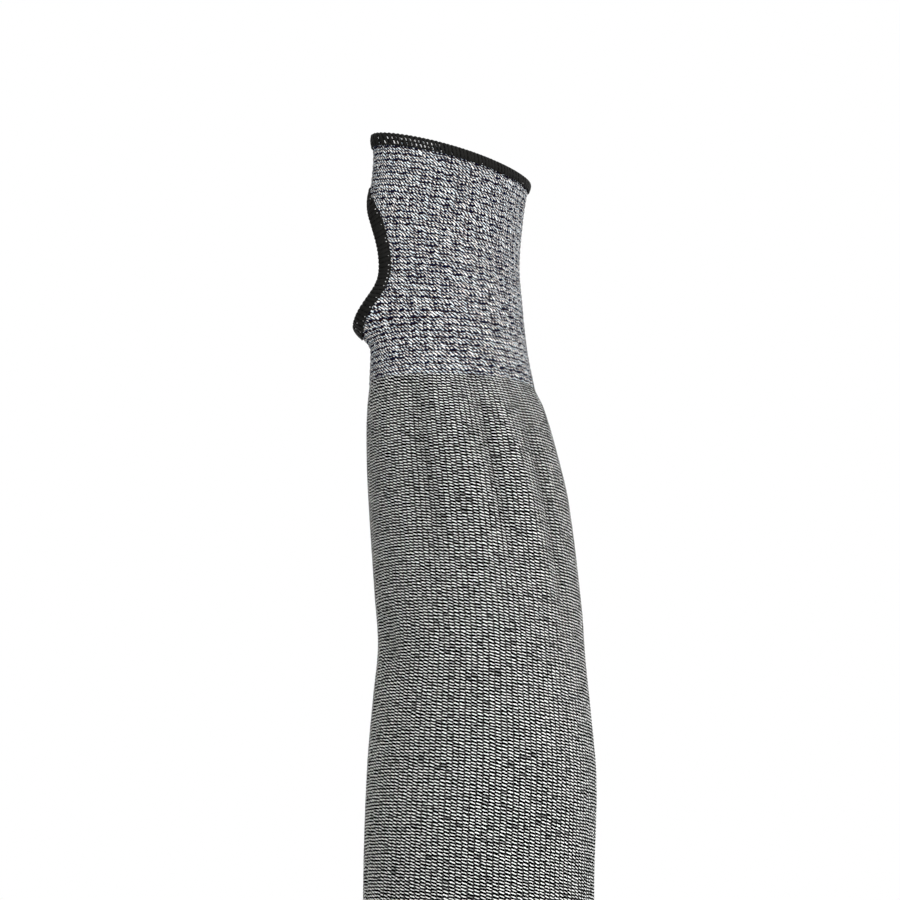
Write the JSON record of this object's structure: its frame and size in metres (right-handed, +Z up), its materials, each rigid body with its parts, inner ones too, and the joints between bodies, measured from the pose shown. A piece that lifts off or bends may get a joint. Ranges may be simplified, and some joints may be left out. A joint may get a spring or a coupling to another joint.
{
  "type": "cut resistant sleeve",
  "caption": "Knitted cut resistant arm sleeve with a waffle knit hand part, a thumb hole and black overlocked edges, kept in its worn form.",
  "frame": {"origin": "middle of the wrist, where the arm's plain knit meets the hand part's waffle knit, and where an arm holds the sleeve", "axes": "+Z up the arm towards the hand, +X to the little finger's side, -Y out of the back of the hand; the thumb hole faces -X"},
  "size_m": [0.1076, 0.091, 0.4638],
  "materials": {
    "waffle_knit": "grey and black speckled waffle knit",
    "plain_knit": "salt and pepper plain knit",
    "overlock_thread": "black overlocked thread"
  },
  "bodies": {
    "root": {"cuff": "waffle_knit", "arm_tube": "plain_knit", "hand_binding": "overlock_thread", "thumb_binding": "overlock_thread", "arm_binding": "overlock_thread"}
  },
  "joints": []
}
